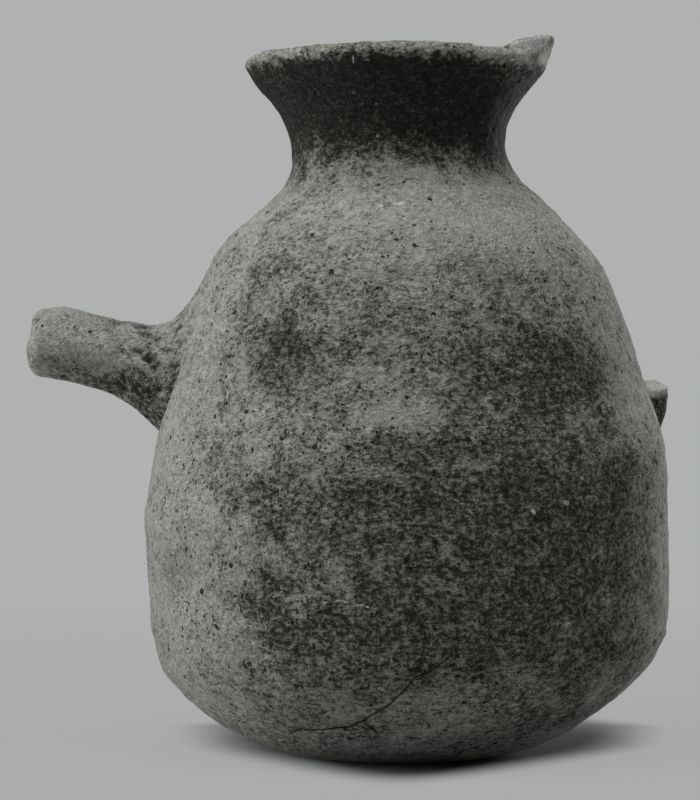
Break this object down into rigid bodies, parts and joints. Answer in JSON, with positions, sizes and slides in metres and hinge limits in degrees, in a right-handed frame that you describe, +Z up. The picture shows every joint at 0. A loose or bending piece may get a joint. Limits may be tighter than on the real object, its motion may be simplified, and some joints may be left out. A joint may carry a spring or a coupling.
{
  "type": "spouted jar",
  "caption": "Hand-built earthenware jar with a flared neck, a round belly, a straight side spout and the broken roots of a lost handle.",
  "frame": {"origin": "middle of the flat underside that the jar rests on", "axes": "+Z up along the jar, -X along the spout, +X and a little +Y towards the lost handle"},
  "size_m": [0.2045, 0.1664, 0.231],
  "materials": {
    "fired_clay": "coarse, unglazed, matt",
    "broken_clay": "worn fracture, matt"
  },
  "bodies": {
    "root": {"base_slab": "fired_clay", "base_bowl": "fired_clay", "wall_coil_1": "fired_clay", "wall_coil_2": "fired_clay", "wall_coil_3": "fired_clay", "wall_coil_4": "fired_clay", "wall_coil_5": "fired_clay", "wall_coil_6": "fired_clay", "wall_coil_7": "fired_clay", "neck_root_coil": "fired_clay", "neck_collar": "fired_clay", "rim_coil": "fired_clay", "spout_tube": "fired_clay", "spout_fillet": "fired_clay", "handle_upper_root": "broken_clay", "handle_lower_root": "fired_clay", "shoulder_pad": "fired_clay"}
  },
  "joints": []
}
